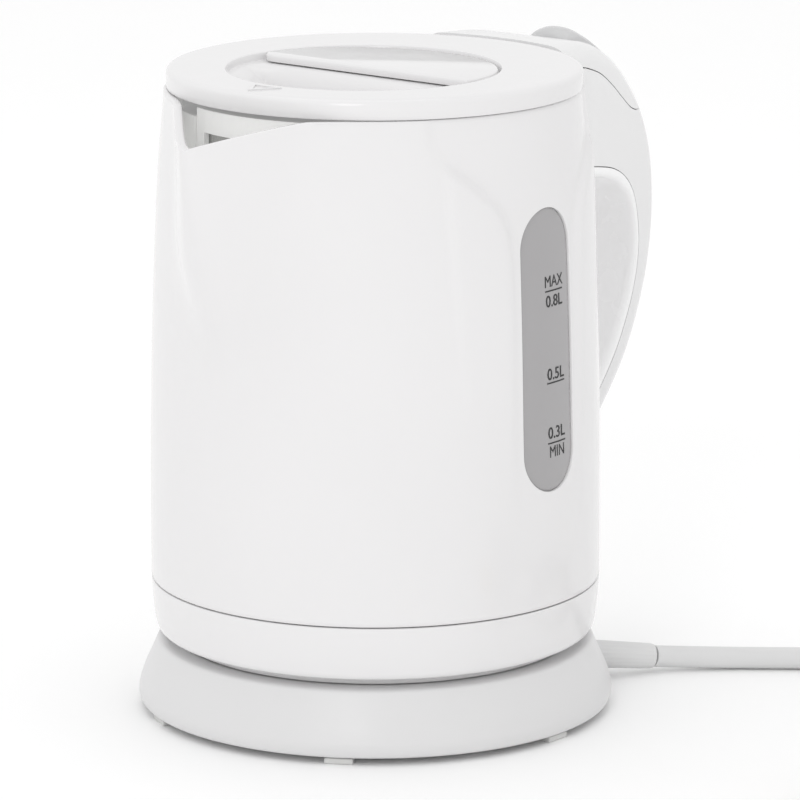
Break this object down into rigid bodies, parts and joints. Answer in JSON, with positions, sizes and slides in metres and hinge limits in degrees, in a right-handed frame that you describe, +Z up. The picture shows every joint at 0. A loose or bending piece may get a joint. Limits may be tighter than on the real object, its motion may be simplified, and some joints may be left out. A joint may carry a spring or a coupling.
{
  "type": "electric kettle",
  "caption": "Small white cordless kettle on a round power base, with a side water window, a pouring beak, a lift-off lid with a finger recess, a rocker switch on its handle, and a coiled cord",
  "frame": {"origin": "under the middle of the kettle and its base, leaving the cord out, on the plane that the feet stand on; the kettle's own upright axis is at x = -0.017", "axes": "+Z up; the pouring beak points along -X, the handle along +X, and the water window faces -Y"},
  "size_m": [0.2275, 0.265, 0.1842],
  "materials": {
    "gloss_white_plastic": "polished white",
    "satin_white_plastic": "fine satin white",
    "handle_white_plastic": "polished white",
    "plain_white_plastic": "plain moulded",
    "clear_grey_plastic": "translucent grey",
    "smoky_grey_plastic": "translucent grey",
    "stainless_steel": "brushed",
    "cast_aluminium": "as cast",
    "brass": "bright",
    "black_nylon": "moulded",
    "silicone_seal": "soft",
    "rubber_foot": "soft",
    "cord_sheath": "soft satin"
  },
  "bodies": {
    "power_base": {"base_shell": "satin_white_plastic", "base_plate": "plain_white_plastic", "foot_1": "rubber_foot", "foot_2": "rubber_foot", "foot_3": "rubber_foot", "foot_4": "rubber_foot", "foot_5": "rubber_foot", "foot_6": "rubber_foot", "base_screw_1": "stainless_steel", "base_screw_2": "stainless_steel", "base_screw_3": "stainless_steel", "base_socket": "black_nylon", "socket_earth_contact": "brass", "socket_inner_contact": "brass", "socket_outer_contact": "brass", "cord_sleeve": "cord_sheath", "mains_cord": "cord_sheath", "cord_coil": "cord_sheath", "cord_tail": "cord_sheath", "plug_body": "cord_sheath", "plug_pin_1": "brass", "plug_pin_2": "brass"},
    "connector": {"jug_connector": "black_nylon", "earth_pin": "brass", "inner_ring_contact": "brass", "outer_ring_contact": "brass"},
    "jug": {"jug_body": "gloss_white_plastic", "water_window": "clear_grey_plastic", "bottom_cover": "gloss_white_plastic", "heating_plate": "stainless_steel", "plate_seal": "silicone_seal", "plate_clamp_ring": "stainless_steel", "heat_spreader": "cast_aluminium", "heating_element": "cast_aluminium", "boil_dry_disc": "stainless_steel", "thermostat_control": "black_nylon", "handle_shell": "handle_white_plastic", "handle_top_cover": "handle_white_plastic", "handle_grip": "handle_white_plastic", "steam_switch_housing": "black_nylon", "steam_bimetal_disc": "stainless_steel", "steam_duct": "plain_white_plastic", "indicator_lamp": "clear_grey_plastic", "switch_wires": "cord_sheath"},
    "switch": {"switch_rocker": "smoky_grey_plastic"},
    "switch_contact": {"contact_arm": "brass"},
    "filter": {"filter_frame": "plain_white_plastic", "filter_mesh": "stainless_steel"},
    "lid": {"lid_cover": "gloss_white_plastic", "lid_pan": "plain_white_plastic", "lid_grip": "gloss_white_plastic"}
  },
  "joints": [
    {"name": "kettle_lift", "type": "slide", "parent": "power_base", "child": "connector", "axis": [0, 0, 1], "range_m": [0, 0.08]},
    {"name": "kettle_turn", "type": "hinge", "parent": "connector", "child": "jug", "pos_m": [-0.017, 0, 0.0205], "axis": [0, 0, 1], "continuous": true},
    {"name": "lid_lift", "type": "slide", "parent": "jug", "child": "lid", "axis": [0, 0, 1], "range_m": [0, 0.06]},
    {"name": "switch_press", "type": "hinge", "parent": "jug", "child": "switch", "pos_m": [0.072, 0, 0.1745], "axis": [0, 1, 0], "range_deg": [0, 12]},
    {"name": "contact_press", "type": "hinge", "parent": "jug", "child": "switch_contact", "pos_m": [0.0575, 0, 0.1699], "axis": [0, 1, 0], "range_deg": [0, 6]},
    {"name": "filter_out", "type": "slide", "parent": "jug", "child": "filter", "axis": [1, 0, 0], "range_m": [0, 0.011]}
  ],
  "couplings": [
    {"joint": "contact_press", "follows": "switch_press", "ratio": 0.5}
  ]
}
